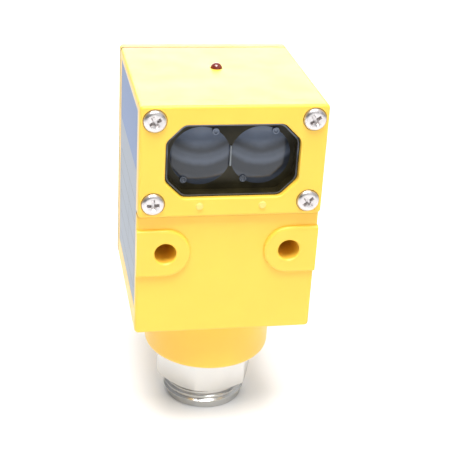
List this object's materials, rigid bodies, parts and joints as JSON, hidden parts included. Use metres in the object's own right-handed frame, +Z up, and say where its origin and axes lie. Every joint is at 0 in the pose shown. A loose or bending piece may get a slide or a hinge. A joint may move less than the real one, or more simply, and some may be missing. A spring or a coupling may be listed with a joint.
{
  "type": "photoelectric sensor",
  "caption": "Block-shaped photoelectric sensor with a twin lens behind a screwed bezel, cross-mounting holes, rear adjusters and a threaded quick-disconnect base.",
  "frame": {"origin": "on the receptacle's axis at the plane of its mouth, the sensor's lowest plane", "axes": "+Z up along the receptacle's axis, the lens looks towards -Y, +X to the viewer's right when facing the lens"},
  "size_m": [0.0446, 0.0498, 0.0935],
  "materials": {
    "yellow_plastic": "moulded, satin gloss",
    "tinted_lens": "polished tinted acrylic",
    "black_rubber": "matt",
    "steel": "bright stainless",
    "black_plastic": "matt",
    "board_laminate": "solder resist over laminate",
    "clear_violet": "clear epoxy with a violet tint",
    "black_lens": "dark daylight-blocking epoxy",
    "tinned_leads": "tinned",
    "pin_brass": "gold-flashed",
    "chip_plastic": "matt epoxy",
    "capacitor_can": "bright can",
    "blue_plastic": "matt",
    "rotor_brass": "turned",
    "rear_plate": "printed polyester film",
    "side_label": "printed polyester film",
    "lamp_lens": "dark red epoxy",
    "plated_shell": "nickel plate over brass",
    "insert_plastic": "moulded",
    "brown_wire": "extruded",
    "white_wire": "extruded",
    "blue_wire": "extruded",
    "black_wire": "extruded"
  },
  "bodies": {
    "sensor": {"housing": "yellow_plastic", "bezel": "yellow_plastic", "rear_cover": "yellow_plastic", "lens_block": "tinted_lens", "lens_gasket": "black_rubber", "bezel_screws": "steel", "rear_screws": "steel", "board_screws": "steel", "optics_screws": "steel", "optics_barrel": "black_plastic", "optics_board": "board_laminate", "main_board": "board_laminate", "emitter": "clear_violet", "receiver": "black_lens", "diode_leads": "tinned_leads", "header_block": "black_plastic", "header_pins": "pin_brass", "chips": "chip_plastic", "chip_legs": "tinned_leads", "capacitors": "capacitor_can", "resistors": "chip_plastic", "output_transistor": "chip_plastic", "adjuster_bodies": "blue_plastic", "adjuster_leads": "tinned_leads", "rear_gasket": "black_rubber", "rotor_seals": "black_rubber", "rear_plate": "rear_plate", "left_label": "side_label", "right_label": "side_label", "indicator_lamp": "lamp_lens", "indicator_seal": "black_rubber", "indicator_leads": "tinned_leads", "receptacle_shell": "plated_shell", "receptacle_insert": "insert_plastic", "contact_pins": "pin_brass", "base_seal": "black_rubber", "wire_brown": "brown_wire", "wire_white": "white_wire", "wire_blue": "blue_wire", "wire_black": "black_wire"},
    "gain_adjuster": {"gain_rotor": "rotor_brass"},
    "mode_selector": {"selector_rotor": "rotor_brass"}
  },
  "joints": [
    {"name": "gain_turn", "type": "hinge", "parent": "sensor", "child": "gain_adjuster", "pos_m": [-0.009, 0.0218, 0.0782], "axis": [0, -1, 0], "continuous": true},
    {"name": "selector_turn", "type": "hinge", "parent": "sensor", "child": "mode_selector", "pos_m": [0.009, 0.0218, 0.0782], "axis": [0, -1, 0], "range_deg": [0, 90]}
  ]
}
